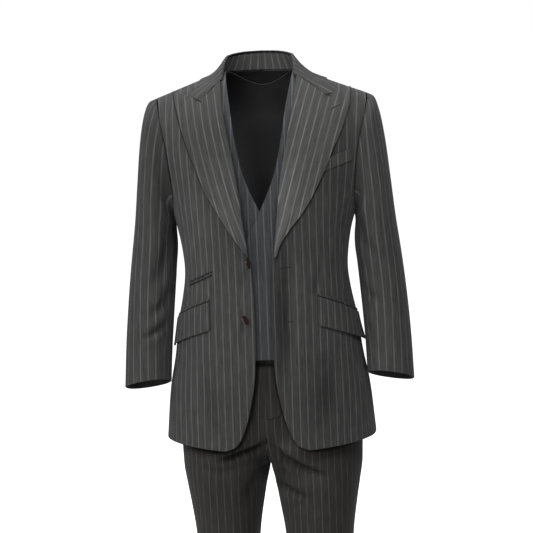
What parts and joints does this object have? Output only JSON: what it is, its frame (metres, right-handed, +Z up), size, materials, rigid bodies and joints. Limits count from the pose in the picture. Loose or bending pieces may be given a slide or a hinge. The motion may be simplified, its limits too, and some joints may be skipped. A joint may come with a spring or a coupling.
{
  "type": "three-piece suit",
  "caption": "Worn, hollow pinstripe suit: peak-lapel jacket hanging open over a double-breasted waistcoat and straight trousers, arms at the sides.",
  "frame": {"origin": "where the wearer's shoulders and neck hold the suit: on the centre line between the two shoulder seams, at the base of the neck", "axes": "+Z up, -Y the wearer's front, +X towards the wearer's left"},
  "size_m": [0.5934, 0.2844, 1.6199],
  "materials": {
    "jacket_cloth": "matte wool suiting, charcoal with fine pale stripes",
    "waistcoat_cloth": "matte wool suiting, charcoal with fine pale stripes",
    "trouser_cloth": "matte wool suiting, charcoal with fine pale stripes",
    "button_horn": "polished dark brown horn"
  },
  "bodies": {
    "root": {"breast_welt": "jacket_cloth", "collar_leaf": "jacket_cloth", "collar_stand": "jacket_cloth", "fly": "trouser_cloth", "front_button_lower": "button_horn", "front_button_upper": "button_horn", "jacket_back_left": "jacket_cloth", "jacket_back_right": "jacket_cloth", "jacket_front_left": "jacket_cloth", "jacket_front_right": "jacket_cloth", "jacket_side_left": "jacket_cloth", "jacket_side_right": "jacket_cloth", "lapel_left": "jacket_cloth", "lapel_right": "jacket_cloth", "pocket_flap_left": "jacket_cloth", "pocket_flap_right": "jacket_cloth", "pocket_jetting_left": "jacket_cloth", "pocket_jetting_right": "jacket_cloth", "sleeve_top_left": "jacket_cloth", "sleeve_top_right": "jacket_cloth", "sleeve_under_left": "jacket_cloth", "sleeve_under_right": "jacket_cloth", "ticket_jetting": "jacket_cloth", "trouser_back_left": "trouser_cloth", "trouser_back_right": "trouser_cloth", "trouser_front_left": "trouser_cloth", "trouser_front_right": "trouser_cloth", "waistband": "trouser_cloth", "waistcoat_back": "waistcoat_cloth", "waistcoat_button_1": "button_horn", "waistcoat_button_2": "button_horn", "waistcoat_button_3": "button_horn", "waistcoat_front_left": "waistcoat_cloth", "waistcoat_front_right": "waistcoat_cloth"}
  },
  "joints": []
}
